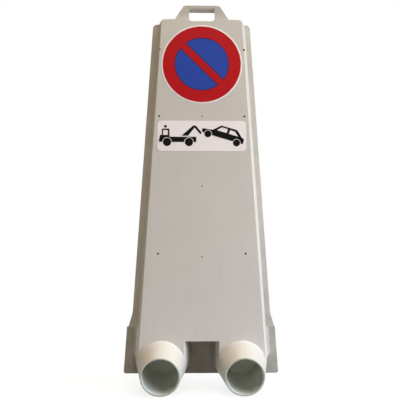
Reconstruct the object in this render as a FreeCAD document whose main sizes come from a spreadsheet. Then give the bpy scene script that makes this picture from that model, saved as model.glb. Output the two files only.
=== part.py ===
# Portable no-parking sign: one moulded panel with a carry handle and two pipe sleeves.
# The panel stands upright. X runs to the right, Y runs from the front face to the back,
# and Z runs up. The origin lies on the front face, midway between the two sleeve axes.
import FreeCAD, Part
import os
import Sketcher

SIZES = {
    # Moulding, in millimetres
    "wall": 4,
    "base_half": 188,
    "shoulder_half": 126,
    "shoulder_level": 1053,
    "shell_depth": 45,
    "draft": 13,
    "top_draft": 3,
    "edge_break": 1.5,
    "corner_clip": 7,
    "rim_width": 15,
    "rim_round": 14.5,
    # Where the rim spreads out above the base
    "flare_level": 150,
    "flare_end": 108,
    "flare_width": 10,
    "flare_round": 55,
    # Deep base that carries the sleeves
    "base_depth": 100,
    "base_top": 126,
    "plate_top": 102,
    "plate_bottom": 40,
    "plate_spread": 48,
    "plate_chamfer": 5,
    "recess_half": 50,
    "recess_level": 71,
    # Pipe sleeves
    "sleeve_half_spacing": 118,
    "sleeve_tilt": 12.5,
    "sleeve_taper": 11,
    "sleeve_reach": 68,
    "mouth_radius": 51.5,
    "mouth_land": 12,
    "sleeve_wall": 4.5,
    "socket_taper": 3.8,
    "socket_wall": 3.5,
    "gap_start": 1,
    # Carry handle
    "handle_rise": 45,
    "handle_half_foot": 84,
    "handle_half_top": 55.5,
    "handle_depth": 24,
    "handle_clip": 3.5,
    "slot_half": 39.5,
    "slot_drop": 6.5,
    "slot_rise": 28.5,
    "slot_round": 9,
    "grip_round": 7,
    # Fixing holes
    "hole_half_spacing": 130,
    "hole_radius": 3,
    "hole_depth": 16,
    "high_holes": 954,
    "middle_holes": 743,
    "low_holes": 326,
    "boss_radius": 7,
    "high_boss_radius": 4.5,
    "mark_radius": 2,
    "mark_depth": 1,
    "middle_mark": 529,
    "low_mark": 317,
    # Ribs behind the face
    "rib_height": 16,
    "rib_half_spacing": 62,
    "rib_pitch": 190,
    "lowest_rib": 232,
    # Sign films
    "film": 0.4,
    "disc_level": 908,
    "disc_radius": 125,
    "red_radius": 120.5,
    "blue_radius": 84,
    "bar_width": 22,
    "plaque_half": 135,
    "plaque_level": 682,
    "plaque_height": 94,
    "plaque_round": 12,
    "print_scale": 1,
}

doc = FreeCAD.newDocument("no_parking_sign")
sheet = doc.addObject("Spreadsheet::Sheet", "Sizes")
for row, (word, number) in enumerate(SIZES.items(), start=1):
    sheet.set(f"A{row}", word)
    sheet.set(f"B{row}", str(number))
    sheet.setAlias(f"B{row}", word)
doc.recompute()


def edge(level):
    """Half width of the front face at a level: its two long edges lean in towards the top."""
    lean = "(Sizes.base_half - Sizes.shoulder_half) / Sizes.shoulder_level"
    return f"(Sizes.base_half - {lean} * ({level}))"


def origin_plane(body, role):
    return next(item for item in body.Origin.OriginFeatures if item.Role == role)


def upright_sketch(body, name, depth):
    """A sketch parallel to the front face, at a distance behind it."""
    sketch = body.newObject("Sketcher::SketchObject", name)
    sketch.AttachmentSupport = [(origin_plane(body, "XZ_Plane"), "")]
    sketch.MapMode = "FlatFace"
    sketch.setExpression("AttachmentOffset.Base.z", f"-({depth})")
    return sketch


def number(sketch, expression):
    return float(sketch.evalExpression(expression))


def pin(sketch, geometry, point, place):
    """Tie one point of a sketch to two expressions, across and up."""
    for kind, expression in zip(("DistanceX", "DistanceY"), place):
        index = sketch.addConstraint(Sketcher.Constraint(kind, geometry, point, number(sketch, expression)))
        sketch.setExpression(f"Constraints[{index}]", expression)


def outline(sketch, corners):
    """A closed outline of straight edges through the corners."""
    points = [FreeCAD.Vector(number(sketch, across), number(sketch, up), 0) for across, up in corners]
    first = sketch.GeometryCount
    for start, end in zip(points, points[1:] + points[:1]):
        sketch.addGeometry(Part.LineSegment(start, end))
    for index, place in enumerate(corners):
        pin(sketch, first + index, 1, place)
        before = first + (index - 1) % len(corners)
        sketch.addConstraint(Sketcher.Constraint("Coincident", before, 2, first + index, 1))


def mirrored(corners):
    """The right-hand corners, from the top down, and their mirror images."""
    return corners + [(f"-({across})", up) for across, up in reversed(corners)]


def rounded_rectangle(sketch, half, low, high, radius):
    """A closed outline with four round corners, centred on the middle line."""
    inset = f"({half}) - ({radius})"
    centres = [
        (inset, f"({high}) - ({radius})", 0),
        (f"-({inset})", f"({high}) - ({radius})", 90),
        (f"-({inset})", f"({low}) + ({radius})", 180),
        (inset, f"({low}) + ({radius})", 270),
    ]
    first = sketch.GeometryCount
    for across, up, start in centres:
        middle = FreeCAD.Vector(number(sketch, across), number(sketch, up), 0)
        circle = Part.Circle(middle, FreeCAD.Vector(0, 0, 1), number(sketch, radius))
        turn = FreeCAD.Units.Quantity(start, "deg").getValueAs("rad").Value
        quarter = FreeCAD.Units.Quantity(90, "deg").getValueAs("rad").Value
        sketch.addGeometry(Part.ArcOfCircle(circle, turn, turn + quarter))
    for index in range(4):
        here = sketch.Geometry[first + index].EndPoint
        there = sketch.Geometry[first + (index + 1) % 4].StartPoint
        sketch.addGeometry(Part.LineSegment(here, there))
    for index, (across, up, start) in enumerate(centres):
        pin(sketch, first + index, 3, (across, up))
        size = sketch.addConstraint(Sketcher.Constraint("Radius", first + index, number(sketch, radius)))
        sketch.setExpression(f"Constraints[{size}]", radius)
        following = first + (index + 1) % 4
        sketch.addConstraint(Sketcher.Constraint("Tangent", first + index, 2, first + 4 + index, 1))
        sketch.addConstraint(Sketcher.Constraint("Tangent", first + 4 + index, 2, following, 1))


def circles(sketch, places, radius):
    for place in places:
        middle = FreeCAD.Vector(number(sketch, place[0]), number(sketch, place[1]), 0)
        round_edge = Part.Circle(middle, FreeCAD.Vector(0, 0, 1), number(sketch, radius))
        index = sketch.addGeometry(round_edge)
        pin(sketch, index, 3, place)
        size = sketch.addConstraint(Sketcher.Constraint("Radius", index, number(sketch, radius)))
        sketch.setExpression(f"Constraints[{size}]", radius)


def loft(body, kind, name, near, far):
    """Join two outlines, given as (depth, corners), into a tapered block or hollow."""
    sketches = []
    for end, (depth, corners) in zip(("front", "back"), (near, far)):
        sketch = upright_sketch(body, f"{name}_{end}", depth)
        outline(sketch, corners)
        sketches.append(sketch)
    feature = body.newObject(f"PartDesign::{kind}Loft", name)
    feature.Profile = sketches[0]
    feature.Sections = [sketches[1]]
    feature.Ruled = True
    return feature


def pad(body, name, sketch, length, backwards=True):
    """Give a sketch a thickness, towards the back unless told otherwise."""
    feature = body.newObject("PartDesign::Pad", name)
    feature.Profile = sketch
    feature.Reversed = backwards
    feature.setExpression("Length", length)
    return feature


def pocket(body, name, sketch, length):
    """Cut from a sketch towards the back."""
    feature = body.newObject("PartDesign::Pocket", name)
    feature.Profile = sketch
    feature.setExpression("Length", length)
    return feature


def mirror(body, feature):
    """Repeat a feature on the other side of the middle line."""
    doc.recompute()
    body.Tip = feature
    twin = body.newObject("PartDesign::Mirrored", f"{feature.Name}_left")
    twin.Originals = [feature]
    twin.MirrorPlane = (origin_plane(body, "YZ_Plane"), [""])
    body.Tip = twin
    return twin


def new_body(name):
    body = doc.addObject("PartDesign::Body", name)
    body.Label = name
    return body


# Moulded panel: outer form, drawn on the face and drafted towards the open back
panel = new_body("moulded_panel")
RECESS = "Sizes.recess_level"
SHOULDER = "Sizes.shoulder_level"
CONE = "tan(Sizes.sleeve_taper)"
FACE_RADIUS = f"(Sizes.mouth_radius + Sizes.sleeve_wall + Sizes.sleeve_reach * {CONE})"
BACK_LENGTH = "(Sizes.base_depth / cos(Sizes.sleeve_tilt))"
BACK_RADIUS = f"({FACE_RADIUS} + {BACK_LENGTH} * {CONE})"
LEG_FOOT = "(Sizes.base_depth * tan(Sizes.sleeve_tilt))"
LEAN_OUT = "(Sizes.draft / Sizes.shell_depth)"
RECESS_IN = f"((Sizes.recess_half - Sizes.sleeve_half_spacing + {BACK_RADIUS}) / Sizes.base_depth)"


def panel_corners(depth, top, clip=None):
    """The panel from a level down to its two legs, as it is at a depth behind the face."""
    grow = f"{LEAN_OUT} * ({depth})"
    inner = f"Sizes.recess_half - {RECESS_IN} * ({depth})"
    upper = [(f"{edge(top)} + {grow}", top)]
    if clip:
        below = f"{top} - {clip}"
        upper = [(f"{edge(top)} + {grow} - {clip}", top), (f"{edge(below)} + {grow}", below)]
    return mirrored(upper + [
        (f"{edge(LEG_FOOT)} + {grow}", LEG_FOOT),
        (inner, LEG_FOOT),
        (inner, RECESS),
    ])


def face_corners(depth):
    """The whole panel with its top corners clipped, as it is at a depth behind the face."""
    top = f"({SHOULDER} + Sizes.top_draft * ({depth}) / Sizes.shell_depth)"
    return panel_corners(depth, top, "Sizes.corner_clip")


def tapered(kind, name, corners_at, front, back):
    """A block or hollow between two depths, whose walls lean with the depth."""
    return loft(panel, kind, name, (front, corners_at(front)), (back, corners_at(back)))


def block(name, depth, corners, length):
    sketch = upright_sketch(panel, f"{name}_outline", depth)
    outline(sketch, corners)
    return pad(panel, name, sketch, length)


tapered("Additive", "face_shell", face_corners, "0", "Sizes.shell_depth")
tapered("Additive", "deep_base", lambda depth: panel_corners(depth, "Sizes.base_top"), "0", "Sizes.base_depth")

HANDLE_FOOT = "Sizes.shoulder_level - 2 * Sizes.wall"
HANDLE_TOP = "(Sizes.shoulder_level + Sizes.handle_rise)"
HANDLE_LEAN = "((Sizes.handle_half_foot - Sizes.handle_half_top) / Sizes.handle_rise)"
block("handle", "0", mirrored([
    ("Sizes.handle_half_top - Sizes.handle_clip", HANDLE_TOP),
    (f"Sizes.handle_half_top + {HANDLE_LEAN} * Sizes.handle_clip", f"{HANDLE_TOP} - Sizes.handle_clip"),
    ("Sizes.handle_half_foot", SHOULDER),
    ("Sizes.handle_half_foot", HANDLE_FOOT),
]), "Sizes.handle_depth")


def near(value, target):
    return abs(value - target) < 0.01


def dress_edges(body, kind, name, size, wanted):
    """Round or chamfer the edges that a rule picks out."""
    doc.recompute()
    base = body.Tip
    chosen = [f"Edge{index}" for index, item in enumerate(base.Shape.Edges, start=1) if wanted(item)]
    feature = body.newObject(f"PartDesign::{kind}", name)
    feature.Base = (base, chosen)
    feature.setExpression("Radius" if kind == "Fillet" else "Size", size)
    body.Tip = feature
    return feature


def on_face_edge(item):
    box = item.BoundBox
    return near(box.YMin, 0) and near(box.YMax, 0) and box.ZMax > number(panel, LEG_FOOT) + 1


dress_edges(panel, "Chamfer", "face_edge", "Sizes.edge_break", on_face_edge)

# Moulded panel: rim and deep base plate
block("rim", "Sizes.shell_depth - Sizes.wall", mirrored([
    (f"{edge(SHOULDER)} + Sizes.draft + Sizes.rim_width", SHOULDER),
    (f"{edge('Sizes.flare_level')} + Sizes.draft + Sizes.rim_width", "Sizes.flare_level"),
    (f"{edge('Sizes.flare_end')} + Sizes.draft + Sizes.rim_width + Sizes.flare_width", "Sizes.flare_end"),
]), "Sizes.wall")


def rim_corner(level):
    """A rule for the two upright edges of the rim at a level."""
    def wanted(item):
        box = item.BoundBox
        flat = near(box.ZMin, SIZES[level]) and near(box.ZMax, SIZES[level])
        return flat and near(box.YLength, SIZES["wall"]) and near(box.XLength, 0)
    return wanted


dress_edges(panel, "Fillet", "rim_top_rounding", "Sizes.rim_round", rim_corner("shoulder_level"))
dress_edges(panel, "Fillet", "rim_flare_rounding", "Sizes.flare_round", rim_corner("flare_level"))
block("base_plate", "Sizes.base_depth - Sizes.wall", mirrored([
    (f"{edge('Sizes.plate_top')} + Sizes.plate_spread", "Sizes.plate_top"),
    (f"{edge('-Sizes.plate_bottom')} + Sizes.plate_spread", "-Sizes.plate_bottom + Sizes.plate_chamfer"),
    (f"{edge('-Sizes.plate_bottom')} + Sizes.plate_spread - Sizes.plate_chamfer", "-Sizes.plate_bottom"),
]), "Sizes.wall")

# Moulded panel: hollow back, open behind and one wall inside the outer form
FLOOR = "(Sizes.recess_level + Sizes.wall)"


def hollow_corners(depth, low, high):
    """The inside of the long walls at a depth."""
    inset = f"({LEAN_OUT} * ({depth}) - Sizes.wall)"
    return mirrored([(f"{edge(high)} + {inset}", high), (f"{edge(low)} + {inset}", low)])


def leg_hollow_corners(depth):
    """The inside of the right-hand leg at a depth."""
    inset = f"({LEAN_OUT} * ({depth}) - Sizes.wall)"
    inner = f"Sizes.recess_half - {RECESS_IN} * ({depth}) + Sizes.wall"
    high = f"({FLOOR} + Sizes.wall)"
    return [
        (inner, high),
        (f"{edge(high)} + {inset}", high),
        (f"{edge(LEG_FOOT)} + {inset}", LEG_FOOT),
        (inner, LEG_FOOT),
    ]


CEILING = "(Sizes.shoulder_level - Sizes.wall)"
BASE_CEILING = "(Sizes.base_top - Sizes.wall)"
tapered("Subtractive", "shell_hollow", lambda depth: hollow_corners(depth, FLOOR, CEILING),
        "Sizes.wall", "Sizes.shell_depth")
tapered("Subtractive", "base_hollow", lambda depth: hollow_corners(depth, FLOOR, BASE_CEILING),
        "Sizes.wall", "Sizes.base_depth")
leg_hollow = tapered("Subtractive", "leg_hollow", leg_hollow_corners, "Sizes.wall", "Sizes.base_depth")
mirror(panel, leg_hollow)

# Moulded panel: handle core, slot and rounded grip
core = upright_sketch(panel, "handle_core_outline", "Sizes.wall")
SLOT_TOP = "(Sizes.shoulder_level + Sizes.slot_rise)"
SLOT_BOTTOM = "(Sizes.shoulder_level - Sizes.slot_drop)"
outline(core, mirrored([
    (f"Sizes.handle_half_foot - {HANDLE_LEAN} * Sizes.slot_rise - Sizes.wall", SLOT_TOP),
    ("Sizes.handle_half_foot - Sizes.wall", SHOULDER),
    ("Sizes.handle_half_foot - Sizes.wall", HANDLE_FOOT),
]))
pocket(panel, "handle_core", core, "Sizes.shell_depth")
surround = upright_sketch(panel, "slot_surround_outline", "0")
outline(surround, mirrored([
    ("Sizes.slot_half + Sizes.wall", f"{SLOT_TOP} + Sizes.wall"),
    ("Sizes.slot_half + Sizes.wall", f"{SLOT_BOTTOM} - Sizes.wall"),
]))
pad(panel, "slot_surround", surround, "Sizes.handle_depth")
slot = upright_sketch(panel, "slot_outline", "0")
outline(slot, mirrored([("Sizes.slot_half", SLOT_TOP), ("Sizes.slot_half", SLOT_BOTTOM)]))
pocket(panel, "slot", slot, "Sizes.shell_depth + Sizes.wall")


def slot_corner(item):
    box = item.BoundBox
    low = number(panel, SLOT_BOTTOM)
    level = near(box.ZMin, low) and near(box.ZMax, low)
    return level and near(abs(box.XMin), SIZES["slot_half"]) and box.YLength > 1


def grip_edge(item):
    box = item.BoundBox
    high = number(panel, SLOT_TOP)
    level = near(box.ZMin, high) and near(box.ZMax, high)
    return level and box.XLength > SIZES["slot_half"] and box.YLength < 0.01


dress_edges(panel, "Fillet", "slot_rounding", "Sizes.slot_round", slot_corner)
dress_edges(panel, "Fillet", "grip_rounding", "Sizes.grip_round", grip_edge)

# Moulded panel: pipe sleeves
BACK_REACH = f"({BACK_LENGTH} + {BACK_RADIUS} * tan(Sizes.sleeve_tilt))"
SLEEVE_LENGTH = f"({BACK_REACH} + Sizes.sleeve_reach)"


def along_sleeve(feature, back):
    """Set a primitive on the sleeve axis, starting a distance behind the face and pointing out."""
    feature.AttachmentSupport = [(origin_plane(panel, "XZ_Plane"), "")]
    feature.MapMode = "FlatFace"
    feature.AttachmentOffset = FreeCAD.Placement(FreeCAD.Vector(), FreeCAD.Rotation(FreeCAD.Vector(1, 0, 0), 10))
    feature.setExpression("AttachmentOffset.Base.x", "Sizes.sleeve_half_spacing")
    feature.setExpression("AttachmentOffset.Base.y", f"({back}) * sin(Sizes.sleeve_tilt)")
    feature.setExpression("AttachmentOffset.Base.z", f"-({back}) * cos(Sizes.sleeve_tilt)")
    feature.setExpression("AttachmentOffset.Rotation.Angle", "Sizes.sleeve_tilt")


def sleeve_cone(kind, name, taper, end_radius, end):
    """A taper along the sleeve axis, from behind the base plate to an end in front of the face."""
    cone = panel.newObject(f"PartDesign::{kind}Cone", name)
    along_sleeve(cone, BACK_REACH)
    length = f"({BACK_REACH} + {end})"
    cone.setExpression("Radius1", f"{end_radius} + {length} * tan({taper})")
    cone.setExpression("Radius2", end_radius)
    cone.setExpression("Height", length)
    mirror(panel, cone)


sleeve_cone("Additive", "sleeve", "Sizes.sleeve_taper", "(Sizes.mouth_radius + Sizes.sleeve_wall)",
            "Sizes.sleeve_reach")
behind = upright_sketch(panel, "sleeve_trim_outline", "Sizes.base_depth")
outline(behind, mirrored([
    ("2 * Sizes.base_half", "2 * Sizes.base_half"),
    ("2 * Sizes.base_half", "-2 * Sizes.base_half"),
]))
pocket(panel, "sleeve_trim", behind, "Sizes.base_depth")

# Between the outer skin of a sleeve and the slimmer socket inside it is a gap, open behind
INNER_END = "(Sizes.sleeve_reach - Sizes.mouth_land)"
SOCKET_CONE = "tan(Sizes.socket_taper)"
GAP_START = f"((Sizes.socket_wall + Sizes.gap_start) / ({CONE} - {SOCKET_CONE}) - {INNER_END})"
gap = panel.newObject("Sketcher::SketchObject", "sleeve_gap_outline")
gap.AttachmentSupport = [(origin_plane(panel, "YZ_Plane"), "")]
gap.MapMode = "FlatFace"
gap.AttachmentOffset = FreeCAD.Placement(FreeCAD.Vector(), FreeCAD.Rotation(FreeCAD.Vector(0, 0, 1), 10))
gap.setExpression("AttachmentOffset.Base.z", "Sizes.sleeve_half_spacing")
gap.setExpression("AttachmentOffset.Rotation.Angle", "Sizes.sleeve_tilt")


def skin_radius(back):
    return f"Sizes.mouth_radius + ({INNER_END} + {back}) * {CONE}"


def socket_radius(back):
    return f"Sizes.mouth_radius + Sizes.socket_wall + ({INNER_END} + {back}) * {SOCKET_CONE}"


outline(gap, [
    (GAP_START, socket_radius(GAP_START)),
    (BACK_REACH, socket_radius(BACK_REACH)),
    (BACK_REACH, skin_radius(BACK_REACH)),
    (GAP_START, skin_radius(GAP_START)),
])
groove = panel.newObject("PartDesign::Groove", "sleeve_gap")
groove.Profile = gap
groove.ReferenceAxis = (gap, ["H_Axis"])
groove.Angle = 360
mirror(panel, groove)
sleeve_cone("Subtractive", "bore", "Sizes.socket_taper", "Sizes.mouth_radius", INNER_END)
land = panel.newObject("PartDesign::SubtractiveCylinder", "bore_land")
along_sleeve(land, "Sizes.mouth_land - Sizes.sleeve_reach")
land.setExpression("Radius", "Sizes.mouth_radius")
land.setExpression("Height", "2 * Sizes.mouth_land")
mirror(panel, land)
SOCKET_BACK = f"(Sizes.mouth_radius + ({INNER_END} + {BACK_LENGTH}) * {SOCKET_CONE})"
END_RADIUS = f"({SOCKET_BACK} / cos(Sizes.sleeve_tilt) + Sizes.socket_wall / 4)"
END_LEVEL = f"{LEG_FOOT} + {END_RADIUS} * tan(Sizes.sleeve_tilt) * {SOCKET_CONE}"
ends = upright_sketch(panel, "socket_end_outlines", "Sizes.base_depth - Sizes.wall")
circles(ends, [(f"{side} * Sizes.sleeve_half_spacing", END_LEVEL) for side in (-1, 1)], END_RADIUS)
pad(panel, "socket_ends", ends, "Sizes.wall")

# Moulded panel: ribs behind the face
rib_count = int((SIZES["high_holes"] - SIZES["lowest_rib"]) / SIZES["rib_pitch"]) + 1
cross = upright_sketch(panel, "cross_rib_outlines", "Sizes.wall")
for index in range(rib_count):
    level = f"(Sizes.lowest_rib + {index} * Sizes.rib_pitch)"
    half = f"({edge(level)} - Sizes.wall / 2)"
    outline(cross, mirrored([(half, f"{level} + Sizes.wall / 2"), (half, f"{level} - Sizes.wall / 2")]))
pad(panel, "cross_ribs", cross, "Sizes.rib_height")
long_ribs = upright_sketch(panel, "long_rib_outlines", "Sizes.wall")
for side in (-1, 1):
    middle = f"{side} * Sizes.rib_half_spacing"
    left = f"{middle} - Sizes.wall / 2"
    right = f"{middle} + Sizes.wall / 2"
    top = f"{SHOULDER} - Sizes.slot_drop - Sizes.wall"
    outline(long_ribs, [(left, top), (right, top), (right, RECESS), (left, RECESS)])
pad(panel, "long_ribs", long_ribs, "Sizes.rib_height")

# Moulded panel: bosses, fixing holes and gate marks
SIDES = ("-Sizes.hole_half_spacing", "Sizes.hole_half_spacing")
HIGH = [(across, "Sizes.high_holes") for across in SIDES]
LOWER = [(across, level) for level in ("Sizes.middle_holes", "Sizes.low_holes") for across in SIDES]
high_bosses = upright_sketch(panel, "high_boss_outlines", "0")
circles(high_bosses, HIGH, "Sizes.high_boss_radius")
pad(panel, "high_bosses", high_bosses, "Sizes.shell_depth")
screw_bosses = upright_sketch(panel, "screw_boss_outlines", "Sizes.wall / 2")
circles(screw_bosses, LOWER, "Sizes.boss_radius")
pad(panel, "screw_bosses", screw_bosses, "Sizes.hole_depth + Sizes.wall / 2")
holes = upright_sketch(panel, "hole_outlines", "0")
circles(holes, HIGH + LOWER, "Sizes.hole_radius")
pocket(panel, "fixing_holes", holes, "Sizes.hole_depth")
marks = upright_sketch(panel, "mark_outlines", "0")
levels = ("Sizes.middle_holes", "Sizes.middle_mark", "Sizes.low_mark")
circles(marks, [("0", level) for level in levels], "Sizes.mark_radius")
pocket(panel, "gate_marks", marks, "Sizes.mark_depth")

# Sign disc: white film with a red ring and bar and two blue fields printed on it
DISC = "Sizes.disc_level"
white_disc = new_body("white_disc_film")
disc = upright_sketch(white_disc, "disc_outline", "0")
circles(disc, [("0", DISC)], "Sizes.disc_radius")
pad(white_disc, "disc_film", disc, "Sizes.film", backwards=False)


def turned_sketch(body, name):
    """A sketch on the white film, centred on the disc and turned to lie along the bar."""
    sketch = upright_sketch(body, name, "-Sizes.film")
    sketch.AttachmentOffset = FreeCAD.Placement(FreeCAD.Vector(), FreeCAD.Rotation(FreeCAD.Vector(0, 0, 1), -45))
    sketch.setExpression("AttachmentOffset.Base.y", DISC)
    sketch.setExpression("AttachmentOffset.Base.z", "Sizes.film")
    return sketch


def half_field(sketch, side):
    """The part of the blue circle on one side of the bar."""
    radius = SIZES["blue_radius"]
    level = side * SIZES["bar_width"] / 2
    reach = (radius ** 2 - level ** 2) ** 0.5
    crown = FreeCAD.Vector(0, side * radius, 0)
    ends = [FreeCAD.Vector(side * reach, level, 0), FreeCAD.Vector(-side * reach, level, 0)]
    arc = sketch.addGeometry(Part.Arc(ends[0], crown, ends[1]))
    chord = sketch.addGeometry(Part.LineSegment(ends[1], ends[0]))
    pin(sketch, arc, 3, ("0", "0"))
    size = sketch.addConstraint(Sketcher.Constraint("Radius", arc, radius))
    sketch.setExpression(f"Constraints[{size}]", "Sizes.blue_radius")
    sketch.addConstraint(Sketcher.Constraint("Coincident", arc, 2, chord, 1))
    sketch.addConstraint(Sketcher.Constraint("Coincident", chord, 2, arc, 1))
    sketch.addConstraint(Sketcher.Constraint("Horizontal", chord))
    height = sketch.addConstraint(Sketcher.Constraint("DistanceY", chord, 1, level))
    sketch.setExpression(f"Constraints[{height}]", f"{side} * Sizes.bar_width / 2")


red_print = new_body("red_ring_and_bar")
red = turned_sketch(red_print, "red_outline")
circles(red, [("0", "0")], "Sizes.red_radius")
for side in (1, -1):
    half_field(red, side)
pad(red_print, "red_film", red, "Sizes.film", backwards=False)
for side, name in ((1, "blue_field_upper"), (-1, "blue_field_lower")):
    blue_print = new_body(name)
    blue = turned_sketch(blue_print, f"{name}_outline")
    half_field(blue, side)
    pad(blue_print, f"{name}_film", blue, "Sizes.film", backwards=False)

# Notice strip: white film with a tow truck and a car printed in black
strip = new_body("white_strip_film")
strip_outline = upright_sketch(strip, "strip_outline", "0")
LEVEL = "Sizes.plaque_level"
HALF_HEIGHT = "Sizes.plaque_height / 2"
rounded_rectangle(strip_outline, "Sizes.plaque_half", f"{LEVEL} - {HALF_HEIGHT}", f"{LEVEL} + {HALF_HEIGHT}",
                  "Sizes.plaque_round")
pad(strip, "strip_film", strip_outline, "Sizes.film", backwards=False)

# Outlines of the two pictures, across and up from the middle of the strip
TRUCK = [
    (-121, 22), (-99, 22), (-98, -3), (-17, -3), (-17, -19), (-130, -19), (-130, -14), (-127, 2), (-121, 3),
]
TRUCK_WINDOW = [(-117.5, 18), (-103, 18), (-103, 2.5), (-117.5, 2.5)]
TRUCK_BOOM = [(-62, 0.5), (-26, 32), (-18, 32), (0, 9), (-5, 6), (-22, 26), (-42, 0.5)]
TRUCK_WHEELS = [(-105.5, -19), (-39, -19)]
TRUCK_LAMP = (-110.5, 29)
CAR = [
    (0, 16), (3, 24), (33, 19), (60, 32.5), (108, 18), (122, -6), (128, -9), (127, -17), (124, -25), (93, -16),
    (33, 2), (4, 11),
]
CAR_FRONT_WINDOW = [(46, 18), (61, 27), (79.5, 22), (76, 9)]
CAR_REAR_WINDOW = [(86.5, 19), (102.5, 13), (110.5, -2), (82, 7)]
CAR_WHEELS = [(18.5, 6.5), (105.5, -21)]
TRUCK_WHEEL = 12.5
CAR_WHEEL = 10.5
LAMP = 4
WHEEL_GAP = 2


def on_strip(places):
    """Turn picture points into places on the strip."""
    return [(f"({across}) * Sizes.print_scale", f"{LEVEL} + ({up}) * Sizes.print_scale") for across, up in places]


def picture(name, shapes, windows, wheels, wheel, dots):
    """A black print: solid shapes with window openings, and wheels with a gap around them."""
    body = new_body(name)
    for index, corners in enumerate(shapes):
        sketch = upright_sketch(body, f"{name}_shape_{index}", "-Sizes.film")
        outline(sketch, on_strip(corners))
        pad(body, f"{name}_fill_{index}", sketch, "Sizes.film", backwards=False)
    cut = upright_sketch(body, f"{name}_openings", "-2 * Sizes.film")
    for corners in windows:
        outline(cut, on_strip(corners))
    pocket(body, f"{name}_windows", cut, "Sizes.film")
    arches = upright_sketch(body, f"{name}_arches", "-2 * Sizes.film")
    circles(arches, on_strip(wheels), f"{wheel + WHEEL_GAP} * Sizes.print_scale")
    pocket(body, f"{name}_wheel_gaps", arches, "Sizes.film")
    rounds = upright_sketch(body, f"{name}_rounds", "-Sizes.film")
    circles(rounds, on_strip(wheels), f"{wheel} * Sizes.print_scale")
    circles(rounds, on_strip(dots), f"{LAMP} * Sizes.print_scale")
    pad(body, f"{name}_wheels", rounds, "Sizes.film", backwards=False)


picture("tow_truck_print", [TRUCK, TRUCK_BOOM], [TRUCK_WINDOW], TRUCK_WHEELS, TRUCK_WHEEL, [TRUCK_LAMP])
picture("towed_car_print", [CAR], [CAR_FRONT_WINDOW, CAR_REAR_WINDOW], CAR_WHEELS, CAR_WHEEL, [])

doc.recompute()
bodies = [item for item in doc.Objects if item.TypeId == "PartDesign::Body"]
for item in doc.Objects:
    if "Invalid" in item.State or "Error" in item.State:
        raise RuntimeError(f"{item.Name} did not build: {item.State}")
os.makedirs("parts", exist_ok=True)
for body in bodies:
    if body.Shape.isNull() or not body.Shape.isValid():
        raise RuntimeError(f"{body.Label} has no sound shape")
    body.Shape.exportStep(f"parts/{body.Label}.step")
    print(body.Label, len(body.Shape.Solids), round(body.Shape.Volume))
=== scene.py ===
# %% [markdown]
# # A portable no-parking sign
# The real sign is one tall plastic moulding. It has a raised face, a rim round the back of its
# long edges, a carry handle at the top and two tapered sleeves at the foot that take pipes.
# A round sign and a white strip are stuck on the face. The construction model already has every
# form at full size, so this lesson gives that model soft edges, real finishes, light and a view.

# %% Load the construction model
import math

import bmesh
import bpy
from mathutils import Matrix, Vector


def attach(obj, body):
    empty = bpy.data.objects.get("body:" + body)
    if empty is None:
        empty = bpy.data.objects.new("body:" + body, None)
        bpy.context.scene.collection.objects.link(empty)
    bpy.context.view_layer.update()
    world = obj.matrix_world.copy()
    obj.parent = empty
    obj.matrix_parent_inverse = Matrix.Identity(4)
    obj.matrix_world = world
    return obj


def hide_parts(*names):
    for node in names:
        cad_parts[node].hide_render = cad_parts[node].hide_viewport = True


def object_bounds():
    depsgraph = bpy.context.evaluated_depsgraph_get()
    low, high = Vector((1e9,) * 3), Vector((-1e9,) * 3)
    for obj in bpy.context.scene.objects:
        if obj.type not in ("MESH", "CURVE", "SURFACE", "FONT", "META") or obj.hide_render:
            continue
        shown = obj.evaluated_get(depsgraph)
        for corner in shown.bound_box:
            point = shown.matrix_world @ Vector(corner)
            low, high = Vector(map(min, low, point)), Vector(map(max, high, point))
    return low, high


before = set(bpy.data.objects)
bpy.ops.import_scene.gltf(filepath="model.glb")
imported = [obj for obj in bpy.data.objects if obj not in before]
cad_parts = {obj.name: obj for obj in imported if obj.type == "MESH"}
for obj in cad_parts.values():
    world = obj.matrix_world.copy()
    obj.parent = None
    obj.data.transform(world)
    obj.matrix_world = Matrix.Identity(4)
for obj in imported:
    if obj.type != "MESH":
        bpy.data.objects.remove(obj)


def to_tenths(box):
    """Both corners of a box in metres, to the nearest tenth of a millimetre."""
    return [[round(value, 4) for value in corner] for corner in box]


cad_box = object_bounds()
print("The construction model fills", to_tenths(cad_box))

# %% [markdown]
# ## The view
# The sign was photographed from a little below its middle, about a metre and a half away. The
# camera comes first, because every later choice is judged through it. A lens of about 46 mm on a
# 36 mm film gives the same narrowing towards the handle as the photograph.

# %% Place the camera
VIEW_FROM = (-0.0377, -1.5209, 0.3281)
LEVEL = math.radians(90)
LOOK_UP = math.radians(5.935)
LOOK_RIGHT = math.radians(1.208)
LENS_MM = 45.9
FILM_WIDTH_MM = 36.0

camera_data = bpy.data.cameras.new("photograph_view")
camera_data.sensor_width = FILM_WIDTH_MM
camera_data.lens = LENS_MM
camera = bpy.data.objects.new("photograph_view", camera_data)
camera.location = VIEW_FROM
camera.rotation_euler = (LEVEL + LOOK_UP, 0, -LOOK_RIGHT)
bpy.context.scene.collection.objects.link(camera)
bpy.context.scene.camera = camera
bpy.context.scene.view_settings.view_transform = "Standard"
print("Camera stands at", VIEW_FROM)

# %% [markdown]
# ## Small helpers for finishes
# A finish is a small graph of nodes. One function adds any kind of node with its settings and
# its links, so each material below reads as a short list. Another turns a colour picked as a
# web hex value into the linear numbers that light is worked out in.


# %% Helpers for nodes and colours
def linear(hex_colour):
    """Turn an sRGB hex colour into linear red, green, blue and full opacity."""
    channels = [int(hex_colour[start:start + 2], 16) / 255 for start in (1, 3, 5)]
    light = [c / 12.92 if c <= 0.04045 else ((c + 0.055) / 1.055) ** 2.4 for c in channels]
    return (*light, 1.0)


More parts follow.
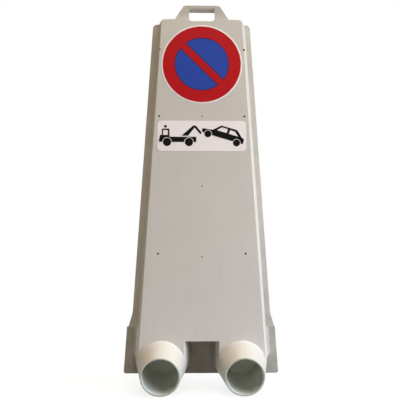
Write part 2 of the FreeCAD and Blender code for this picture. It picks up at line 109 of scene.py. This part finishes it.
def add_node(tree, kind, settings=None, **inputs):
    """Add one node, set its properties, and fill or link its inputs by name or by _number."""
    node = tree.nodes.new(kind)
    for name, value in (settings or {}).items():
        setattr(node, name, value)
    for name, value in inputs.items():
        socket = node.inputs[int(name[1:]) if name[0] == "_" else name.replace("_", " ")]
        if isinstance(value, bpy.types.NodeSocket):
            tree.links.new(value, socket)
        else:
            socket.default_value = value
    return node


def new_finish(name):
    """An empty material, its graph, and the place on the piece in metres."""
    material = bpy.data.materials.new(name)
    material.use_nodes = True
    material.node_tree.nodes.clear()
    place = add_node(material.node_tree, "ShaderNodeTexCoord").outputs["Object"]
    return material, material.node_tree, place


def finish_with(tree, shader, output_kind="ShaderNodeOutputMaterial"):
    """Make a shader the one that the graph ends in."""
    output = add_node(tree, output_kind)
    tree.links.new(shader.outputs[0], output.inputs["Surface"])


print("Helpers ready, and mid grey is", round(linear("#808080")[0], 3), "in linear light")

# %% [markdown]
# Four kinds of step come back in nearly every finish: noise, a ramp, a blend of two colours, and
# a surface with fine relief to end in. Noise is given in features per metre, so 900 is a grain
# of about 1.1 mm.


# %% Helpers for the steps that come back
def noise(tree, place, per_metre, detail, roughness=0.5):
    """Soft random blotches between 0 and 1."""
    return add_node(tree, "ShaderNodeTexNoise", Vector=place, Scale=per_metre, Detail=detail,
                    Roughness=roughness).outputs["Fac"]


def ramp(tree, value, span, result=(0.0, 1.0)):
    """Go evenly from the first result to the second while a value crosses a span."""
    return add_node(tree, "ShaderNodeMapRange", Value=value, From_Min=span[0], From_Max=span[1],
                    To_Min=result[0], To_Max=result[1]).outputs[0]


def blend(tree, share, one, other):
    """Mix two colours by a share from 0 to 1. The colour sockets of this node have numbers."""
    return add_node(tree, "ShaderNodeMix", {"data_type": "RGBA"}, Factor=share,
                    _6=one, _7=other).outputs[2]


def surface(tree, colour, roughness, relief, strength, depth, **more):
    """End a finish in a surface whose fine relief follows a noise."""
    bump = add_node(tree, "ShaderNodeBump", Height=relief, Strength=strength, Distance=depth)
    finish_with(tree, add_node(tree, "ShaderNodeBsdfPrincipled", Base_Color=colour,
                               Roughness=roughness, Normal=bump.outputs[0], **more))


GRAIN_PER_METRE = 900.0
print("Finest grain, mm:", round(1000 / GRAIN_PER_METRE, 1))

# %% [markdown]
# ## Moulded polyethylene
# The panel is injection-moulded polyethylene in a warm light grey. The tool was spark-eroded,
# which leaves a fine even grain about 1 mm across, and the plastic is waxy: satin, with a soft
# gleam and no sharp reflections. Every finish of this plastic ends in the same grain, so one
# helper adds it.
#
# The foot of the face is the palest part, and sun yellows the plastic towards the top.


# %% Begin the polyethylene finish with its colour
YELLOWED_HEIGHTS = (0.1, 0.9)


def grained(tree, place, colour, roughness):
    """End a finish in satin polyethylene with a spark grain."""
    surface(tree, colour, roughness, noise(tree, place, GRAIN_PER_METRE, detail=2.0),
            strength=0.25, depth=0.0002, IOR=1.51)


polyethylene, tree, place = new_finish("moulded_polyethylene_spark_grain")
spot = add_node(tree, "ShaderNodeSeparateXYZ", Vector=place)
back, height = spot.outputs["Y"], spot.outputs["Z"]
clouds = noise(tree, place, per_metre=7.0, detail=4.0, roughness=0.55)
foot_tone = blend(tree, clouds, linear("#D1CBC6"), linear("#D8D2CE"))
top_tone = blend(tree, clouds, linear("#C5BCAF"), linear("#CCC3B7"))
tone = blend(tree, ramp(tree, height, YELLOWED_HEIGHTS), foot_tone, top_tone)
print("Yellowing runs between these heights in metres:", YELLOWED_HEIGHTS)

# %% [markdown]
# Handling has clouded the face and left faint upright rub marks, and hands have greyed the
# handle. The sleeves, which stand out in front of the face, are scuffed a little duller.

# %% Wear the face, the handle and the sleeves
RUBS_PER_METRE = (160.0, 160.0, 6.0)
HANDLE_HEIGHTS = (1.056, 1.072)
IN_FRONT_OF_FACE = (-0.002, -0.012)

stretched = add_node(tree, "ShaderNodeMapping", Vector=place, Scale=RUBS_PER_METRE)
rubs = noise(tree, stretched.outputs[0], per_metre=1.0, detail=3.0)
rub_amount = ramp(tree, rubs, span=(0.55, 0.8), result=(0.0, 0.25))
rubbed = blend(tree, rub_amount, tone, linear("#B7B2A8"))
held = ramp(tree, height, HANDLE_HEIGHTS, result=(0.0, 0.55))
handled = blend(tree, held, rubbed, linear("#A69D92"))
scuffed = ramp(tree, back, IN_FRONT_OF_FACE, result=(0.0, 0.4))
worn = blend(tree, scuffed, handled, linear("#C0B9A6"))
print("The handle is greyed from", HANDLE_HEIGHTS[0], "m up")

# %% [markdown]
# The rim and the base plate stick out behind the face, and the face shades them. Their colour
# greys from 34 to 40 mm behind the face, in patches, and more near the ground, as painted shade
# for that and for the deep shade in the recess between the sleeves.

# %% Paint shade behind the face
BEHIND_FACE = (0.034, 0.040)
NEAR_GROUND = (0.0, 0.45)

behind = ramp(tree, back, BEHIND_FACE)
patches = noise(tree, place, per_metre=24.0, detail=5.0, roughness=0.6)
patchy = ramp(tree, patches, span=(0.3, 0.7), result=(0.13, 0.31))
more_low_down = ramp(tree, height, NEAR_GROUND, result=(2.4, 1.0))
spread = add_node(tree, "ShaderNodeMath", {"operation": "MULTIPLY"}, _0=more_low_down, _1=patchy)
# Painted shade: the rim and base plate grey where the face shades them, most in the recess low
# down.
painted_shade = add_node(tree, "ShaderNodeMath", {"operation": "MULTIPLY"},
                _0=behind, _1=spread.outputs[0])
with_painted_shade = blend(tree, painted_shade.outputs[0], worn, linear("#857F70"))
sheen = ramp(tree, clouds, span=(0.3, 0.7), result=(0.46, 0.56))
grained(tree, place, with_painted_shade, sheen)
print("Made", polyethylene.name)

# %% [markdown]
# The pipe sockets are moulded on a polished core. Their walls are painted paler than the panel,
# as painted light, because little of the lamps' light gets so far in, and the first few
# centimetres are painted darker, as painted shade on the lip that the lamps light. Light also
# soaks through their thin walls and brightens them deep inside. A colour that pales inwards
# stands in for that here, because the light paths through two thin walls are slow to work out.

# %% Make the finish inside the sockets
PALES_INWARDS = (-0.050, 0.010)

socket_polyethylene, tree, place = new_finish("moulded_polyethylene_socket_wall")
spot = add_node(tree, "ShaderNodeSeparateXYZ", Vector=place)
clouds = noise(tree, place, per_metre=30.0, detail=4.0, roughness=0.55)
# Painted shade at the mouth, and painted light further in.
painted_mouth_shade = blend(tree, clouds, linear("#CDD0C8"), linear("#D5D8D0"))
lit_through = blend(tree, clouds, linear("#F3F6EE"), linear("#F8FAF3"))
inwards = ramp(tree, spot.outputs["Y"], PALES_INWARDS)
grained(tree, place, blend(tree, inwards, painted_mouth_shade, lit_through), roughness=0.5)
print("Made", socket_polyethylene.name)

# %% [markdown]
# The narrow screw holes and the sunken gate marks are painted near black, as painted shade, so
# they read as dark dots. The paint is dull, with a rough grain of about 1 mm.

# %% Make the painted shade for the holes
hole_shade, tree, place = new_finish("painted_hole_shade")
# Near-black painted shade for the small holes, with a faint grain.
hole_speckle = noise(tree, place, GRAIN_PER_METRE, detail=2.0)
colour = blend(tree, hole_speckle, linear("#0F0E0C"), linear("#1C1A17"))
surface(tree, colour, 0.9, hole_speckle, strength=0.4, depth=0.0003, Specular_IOR_Level=0.2)
print("Made", hole_shade.name)

# %% [markdown]
# ## Sign film
# The disc and the strip are screen-printed on vinyl film. Vinyl is smoother than the moulding,
# so it shows a little more gloss, and the glue under it leaves a faint orange-peel ripple about
# 4 mm across. The ink is a thin even coat. Black ink is the dullest, because it is full of soot.


# %% Make the film finishes
def vinyl(name, plain, aged, roughness, gloss=0.2):
    """Vinyl film of one colour that shifts slightly in clouds, with a faint ripple."""
    material, tree, place = new_finish(name)
    clouds = noise(tree, place, per_metre=22.0, detail=5.0, roughness=0.6)
    ripple = noise(tree, place, per_metre=250.0, detail=1.0)
    surface(tree, blend(tree, clouds, linear(plain), linear(aged)), roughness, ripple,
            strength=0.15, depth=0.0002, IOR=1.53, Specular_IOR_Level=gloss)
    return material


white_vinyl = vinyl("white_vinyl_film", "#F6EBE9", "#EFE4E2", 0.45)
red_ink = vinyl("red_screen_ink_on_vinyl", "#BC0510", "#B00912", 0.5)
blue_ink = vinyl("blue_screen_ink_on_vinyl", "#23409A", "#2A47A2", 0.5)
black_ink = vinyl("black_screen_ink_on_vinyl", "#090B0B", "#0F1110", 0.5, gloss=0.1)
print("Made", [film.name for film in (white_vinyl, red_ink, blue_ink, black_ink)])

# %% [markdown]
# The printer lets the red and the blue ink overlap by about 1 mm, so that no white shows between
# them. Both inks together are nearly black, which draws a thin dark line round each blue field.
# A pixel of the photograph covers about 3 mm, so the line is drawn 2.6 mm wide in order to show.
# It follows the circle and the bar, so its place is worked out from the middle of the disc.

# %% Darken the blue where the inks overlap
DISC_MIDDLE = (0.0, 0.0, 0.908)
BLUE_RADIUS = 0.084
BAR_HALF = 0.011
ACROSS_BAR = Vector((1, 0, 1)).normalized()
OVERLAP = 0.0026
SOFT_EDGE = 0.0006
FROM_CIRCLE = BLUE_RADIUS - OVERLAP
UP_TO_BAR = BAR_HALF + OVERLAP

tree = blue_ink.node_tree
coat = next(node for node in tree.nodes if node.type == "BSDF_PRINCIPLED")
plain_blue = coat.inputs["Base Color"].links[0].from_socket
place = add_node(tree, "ShaderNodeTexCoord").outputs["Object"]
off_middle = add_node(tree, "ShaderNodeVectorMath", {"operation": "SUBTRACT"},
                      _0=place, _1=DISC_MIDDLE).outputs[0]
out = add_node(tree, "ShaderNodeVectorMath", {"operation": "LENGTH"}, _0=off_middle)
at_circle = ramp(tree, out.outputs["Value"], (FROM_CIRCLE, FROM_CIRCLE + SOFT_EDGE))
across = add_node(tree, "ShaderNodeVectorMath", {"operation": "DOT_PRODUCT"},
                  _0=off_middle, _1=ACROSS_BAR)
from_bar = add_node(tree, "ShaderNodeMath", {"operation": "ABSOLUTE"},
                    _0=across.outputs["Value"])
at_bar = ramp(tree, from_bar.outputs[0], (UP_TO_BAR, UP_TO_BAR - SOFT_EDGE))
overlap = add_node(tree, "ShaderNodeMath", {"operation": "MAXIMUM"}, _0=at_circle, _1=at_bar)
darkened = blend(tree, overlap.outputs[0], plain_blue, linear("#2A1838"))
tree.links.new(darkened, coat.inputs["Base Color"])
print("Dark line where the inks overlap, mm:", round(OVERLAP * 1000, 1))

# %% [markdown]
# The construction model's films keep their shapes and only get these finishes.

# %% Put the films on
FILMS = {
    "white_disc_film": white_vinyl,
    "red_ring_and_bar": red_ink,
    "blue_field_upper": blue_ink,
    "blue_field_lower": blue_ink,
    "white_strip_film": white_vinyl,
    "tow_truck_print": black_ink,
    "towed_car_print": black_ink,
}
for node, material in FILMS.items():
    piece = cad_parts[node]
    piece.data.materials.clear()
    piece.data.materials.append(material)
print("Films finished:", len(FILMS))

# %% [markdown]
# ## Soft edges on the moulding
# Molten plastic never fills a perfectly sharp corner, so each outer edge of the real panel is
# rounded by about a millimetre and catches a thin line of light. The construction model has sharp
# triangles. A copy of it is welded into one skin, and its triangles are joined into flat faces.
# A face with a hole in it can't be one polygon, so the skin is first cut level with each hole,
# and those cuts stay.

# %% Weld the moulding into one skin
SCREW_LEVELS = (0.954, 0.743, 0.326)
GATE_LEVELS = (0.743, 0.529, 0.317)
SLOT_LEVEL = 1.065
HOLE_LEVELS = sorted({*SCREW_LEVELS, *GATE_LEVELS, SLOT_LEVEL})
WELD = 0.00008
ON_THE_CUT = 0.00001
FLAT = math.radians(0.4)


def welded_copy(name, node):
    """A copy of a construction mesh with its triangles joined into flat faces."""
    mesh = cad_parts[node].data.copy()
    mesh.name = name
    skin = bmesh.new()
    skin.from_mesh(mesh)
    bmesh.ops.remove_doubles(skin, verts=skin.verts, dist=WELD)
    for level in HOLE_LEVELS:
        whole = skin.verts[:] + skin.edges[:] + skin.faces[:]
        cut = bmesh.ops.bisect_plane(skin, geom=whole, dist=ON_THE_CUT, plane_co=(0, 0, level),
                                     plane_no=(0, 0, 1))
        for edge in cut["geom_cut"]:
            if isinstance(edge, bmesh.types.BMEdge):
                edge.seam = True
    bmesh.ops.dissolve_limit(skin, angle_limit=FLAT, verts=skin.verts, edges=skin.edges,
                             delimit={"SEAM"})
    skin.to_mesh(mesh)
    open_edges = sum(1 for edge in skin.edges if len(edge.link_faces) != 2)
    print(name, "has", len(skin.faces), "faces and", open_edges, "open edges")
    skin.free()
    piece = bpy.data.objects.new(name, mesh)
    bpy.context.scene.collection.objects.link(piece)
    return piece


panel = welded_copy("moulded_sign_panel", "moulded_panel")

# %% [markdown]
# The walls of the sockets get their own finish. A face belongs to one when it is close to a
# sleeve's axis and looks towards that axis, or straight out along it.

# %% Tell the faces of a socket
SLEEVE_OUT = 0.118
SLEEVE_TILT = math.radians(12.5)
SLEEVE_AXIS = Vector((0.0, -math.cos(SLEEVE_TILT), -math.sin(SLEEVE_TILT)))
SOCKET_REACH = 0.0620
SOCKET_TOP = 0.1
TOWARDS_AXIS = 0.5
ALONG_AXIS = 0.9


def lines_a_socket(face):
    """Whether a face is part of a pipe socket."""
    start = Vector((math.copysign(SLEEVE_OUT, face.center.x), 0.0, 0.0))
    off_axis = (face.center - start) - (face.center - start).dot(SLEEVE_AXIS) * SLEEVE_AXIS
    in_reach = off_axis.length < SOCKET_REACH and face.center.z < SOCKET_TOP
    looks_in = face.normal.dot(off_axis) < -TOWARDS_AXIS * off_axis.length
    looks_out_along = face.normal.dot(SLEEVE_AXIS) > ALONG_AXIS
    return in_reach and (looks_in or looks_out_along)


print("The sleeves point forwards and dip by", round(math.degrees(SLEEVE_TILT), 1), "degrees")

# %% [markdown]
# The screw holes and the gate marks take the painted shade. Each is known by its place on the
# face, its radius and its depth, the last two with a little to spare.

# %% Sort the faces between the three finishes
SCREW_OUT = 0.130
SCREW_RADIUS, SCREW_DEPTH = 0.0032, 0.0165
GATE_RADIUS, GATE_DEPTH = 0.0022, 0.0015
SMALL_HOLES = [((side * SCREW_OUT, level), SCREW_RADIUS, SCREW_DEPTH)
               for side in (-1, 1) for level in SCREW_LEVELS]
SMALL_HOLES += [((0.0, level), GATE_RADIUS, GATE_DEPTH) for level in GATE_LEVELS]


def lines_a_small_hole(face):
    """Whether a face is in a screw hole or a gate mark.

    The closed end of a boss lies on the same axis further back, so depth counts too.
    """
    where = (face.center.x, face.center.z)
    return any(math.dist(where, middle) < radius and face.center.y < depth
               for middle, radius, depth in SMALL_HOLES)


panel.data.materials.clear()
for material in (polyethylene, socket_polyethylene, hole_shade):
    panel.data.materials.append(material)
# Faces in small holes get the near-black painted shade.
for face in panel.data.polygons:
    face.material_index = 1 if lines_a_socket(face) else 2 if lines_a_small_hole(face) else 0
finishes = [face.material_index for face in panel.data.polygons]
print("Socket faces:", finishes.count(1), "and faces in small holes:", finishes.count(2))

# %% [markdown]
# Next come the edges to round: outer edges that turn by 30 to 150 degrees, grouped into lines
# that run on wherever only two of them meet. The rims of small holes and bosses are left out,
# because they are too tight to round. Every other sharp edge is kept sharp in the shading.

# %% Find the lines to round
SHARP = math.radians(30)
FOLDED_BACK = math.radians(150)
SMALL_RING = 0.060


def edge_lines(mesh):
    """Group the outer sharp edges into lines, and keep the rest sharp in the shading."""
    skin = bmesh.new()
    skin.from_mesh(mesh)
    turns = {edge.index: edge.calc_face_angle(0) for edge in skin.edges}
    outer = {edge.index: edge for edge in skin.edges
             if edge.is_convex and SHARP < turns[edge.index] < FOLDED_BACK}
    waiting = set(outer)
    lines = []
    for start in outer.values():
        line = [start] if start.index in waiting else []
        waiting.discard(start.index)
        for edge in line:
            for corner in edge.verts:
                meeting = [other for other in corner.link_edges if other.index in outer]
                for other in meeting:
                    if len(meeting) == 2 and other.index in waiting:
                        waiting.discard(other.index)
                        line.append(other)
        corners = {corner.index for edge in line for corner in edge.verts}
        closed = len(corners) == len(line)
        small_ring = closed and sum(edge.calc_length() for edge in line) < SMALL_RING
        if line and not small_ring:
            lines.append([edge.index for edge in line])
    for index, turn in turns.items():
        mesh.edges[index].use_edge_sharp = turn > SHARP
    skin.free()
    return lines


lines = edge_lines(panel.data)
print("Lines that could be rounded:", len(lines))

# %% [markdown]
# A bevel that runs out of room can tear a face, and it then covers more or less than the area
# inside its outline. So the lines are tried together, and a group that tears a face by more than
# 12 square millimetres is halved until only the line that did it is left as it was.

# %% Try the lines
EDGE_ROUNDING = 0.0009
TEAR = 0.000012
WEIGHTS = "bevel_weight_edge"

bevel = panel.modifiers.new("moulded_edge_rounding", "BEVEL")
bevel.width = EDGE_ROUNDING
bevel.segments = 3
bevel.limit_method = "WEIGHT"
bevel.use_clamp_overlap = False
panel.data.attributes.new(WEIGHTS, "FLOAT", "EDGE")


def round_only(chosen):
    """Give the chosen lines their rounding, and take it from all others."""
    marked = {index for line in chosen for index in line}
    values = [1.0 if edge.index in marked else 0.0 for edge in panel.data.edges]
    panel.data.attributes[WEIGHTS].data.foreach_set("value", values)
    panel.data.update()


def tears(chosen):
    """Round the chosen lines and see whether a face is torn."""
    round_only(chosen)
    graph = bpy.context.evaluated_depsgraph_get()
    rounded = bpy.data.meshes.new_from_object(panel.evaluated_get(graph))
    rounded.calc_loop_triangles()
    covered = [0.0] * len(rounded.polygons)
    for triangle in rounded.loop_triangles:
        covered[triangle.polygon_index] += triangle.area
    torn = any(abs(covered[face.index] - face.area) > TEAR for face in rounded.polygons)
    bpy.data.meshes.remove(rounded)
    return torn


def keep_sound(kept, group):
    """Add to the kept lines as much of a group as tears nothing."""
    if not tears(kept + group):
        return kept + group
    if len(group) == 1:
        return kept
    middle = len(group) // 2
    return keep_sound(keep_sound(kept, group[:middle]), group[middle:])


rounded_lines = keep_sound([], lines)
print("Rounded", len(rounded_lines), "of", len(lines), "lines")

# %% [markdown]
# The rounded lines shade smoothly, and weighted normals keep the large faces flat beside them.
# The dressed panel then takes the place of its construction model.

# %% Finish the panel
round_only(rounded_lines)
for line in rounded_lines:
    for index in line:
        panel.data.edges[index].use_edge_sharp = False
panel.data.shade_smooth()
normals = panel.modifiers.new("flat_faces_stay_flat", "WEIGHTED_NORMAL")
normals.weight = 100
normals.keep_sharp = True
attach(panel, "root")
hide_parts("moulded_panel")
print("Finished", panel.name)

# %% [markdown]
# ## Floor
# The sign was cut out on white. A pale floor under the lowest point of the sleeves keeps a soft
# shadow. To the camera, and in anything glossy, it glows, more and more away from the sign, until
# it runs into the white backdrop with no line between them. Everything else is lit as if by a
# plain grey floor, so the glow doesn't whiten the underside of the sign.

# %% Lay the floor
FLOOR_HALF = 30.0
GLOW_GROWS = (0.8, 2.4)
GLOW_SHARES = (0.85, 1.0)

lowest = cad_box[0][2]
corners = ((-1, -1), (1, -1), (1, 1), (-1, 1))
floor_mesh = bpy.data.meshes.new("studio_floor")
floor_mesh.from_pydata([(x * FLOOR_HALF, y * FLOOR_HALF, lowest) for x, y in corners],
                       [], [(0, 1, 2, 3)])
floor = bpy.data.objects.new("studio_floor", floor_mesh)
bpy.context.scene.collection.objects.link(floor)

floor_paint, tree, place = new_finish("white_studio_floor")
grey = add_node(tree, "ShaderNodeBsdfDiffuse", Color=linear("#928E87"))
white = add_node(tree, "ShaderNodeBsdfDiffuse", Color=linear("#FFFFFF"))
glow = add_node(tree, "ShaderNodeEmission", Color=linear("#FFFFFF"), Strength=1.0)
away = add_node(tree, "ShaderNodeVectorMath", {"operation": "LENGTH"}, _0=place)
glow_share = ramp(tree, away.outputs["Value"], GLOW_GROWS, GLOW_SHARES)
bright = add_node(tree, "ShaderNodeMixShader", Fac=glow_share,
                  _1=white.outputs[0], _2=glow.outputs[0])
seen = add_node(tree, "ShaderNodeLightPath")
shown = add_node(tree, "ShaderNodeMath", {"operation": "MAXIMUM"},
                 _0=seen.outputs["Is Camera Ray"], _1=seen.outputs["Is Glossy Ray"])
finish_with(tree, add_node(tree, "ShaderNodeMixShader", Fac=shown.outputs[0],
                           _1=grey.outputs[0], _2=bright.outputs[0]))
floor.data.materials.append(floor_paint)
print("Floor laid at", round(lowest, 4), "m")

# %% [markdown]
# ## Light
# Six soft lamps light the sign: a cool one far to the right and a small one nearer the foot give
# the bright right walls and the dark left ones, one at the front right evens out the face, a warm
# one overhead lightens the tops of the sleeves, a weak one lifts the upper left, and one behind
# shows the back. A dim even sky fills the rest. The photograph lets the right walls burn out to
# white. Here the side lamps stay just weak enough that those walls keep their colour when the
# sign is seen from the side.

# %% Fill the sky
SKY_LIGHT = 0.1

world = bpy.data.worlds.new("even_studio_sky")
bpy.context.scene.world = world
world.use_nodes = True
tree = world.node_tree
tree.nodes.clear()
seen = add_node(tree, "ShaderNodeLightPath")
fill = add_node(tree, "ShaderNodeBackground", Color=linear("#FFF0C8"), Strength=SKY_LIGHT)
backdrop = add_node(tree, "ShaderNodeBackground", Color=linear("#FFFFFF"), Strength=1.0)
sky = add_node(tree, "ShaderNodeMixShader", Fac=seen.outputs["Is Camera Ray"],
               _1=fill.outputs[0], _2=backdrop.outputs[0])
finish_with(tree, sky, "ShaderNodeOutputWorld")
print("Made", world.name)

# %% Hang the lamps
LAMPS = (
    # name, place, height that it looks at, width, watts, colour
    ("cool_side_lamp", (4.09, -1.06, 2.06), 0.5, 1.7, 133, "#D1EEFF"),
    ("near_side_lamp", (2.21, -0.86, 0.66), 0.3, 0.9, 19, "#F3EDFF"),
    ("front_right_lamp", (3.10, -2.50, 1.60), 0.4, 1.6, 49, "#E8F2FF"),
    ("warm_overhead_lamp", (0.23, -1.35, 4.79), 0.5, 3.4, 193, "#FFF3E4"),
    ("high_left_lamp", (-1.50, -0.20, 2.20), 0.9, 1.2, 4, "#FFFFD3"),
    ("back_lamp", (-0.68, 3.91, 2.61), 0.5, 2.4, 120, "#FFFFFF"),
)


def soft_lamp(name, place, aim_height, width, watts, hex_colour):
    """A round lamp that looks at the middle line of the sign, at a height."""
    aim = Vector((0.0, 0.0, aim_height))
    data = bpy.data.lights.new(name, "AREA")
    data.shape = "DISK"
    data.size = width
    data.energy = watts
    data.color = linear(hex_colour)[:3]
    lamp = bpy.data.objects.new(name, data)
    lamp.location = place
    lamp.rotation_euler = (Vector(place) - aim).to_track_quat("Z", "Y").to_euler()
    bpy.context.scene.collection.objects.link(lamp)
    print(name, "is", round((Vector(place) - aim).length, 2), "m away")


for lamp_settings in LAMPS:
    soft_lamp(*lamp_settings)
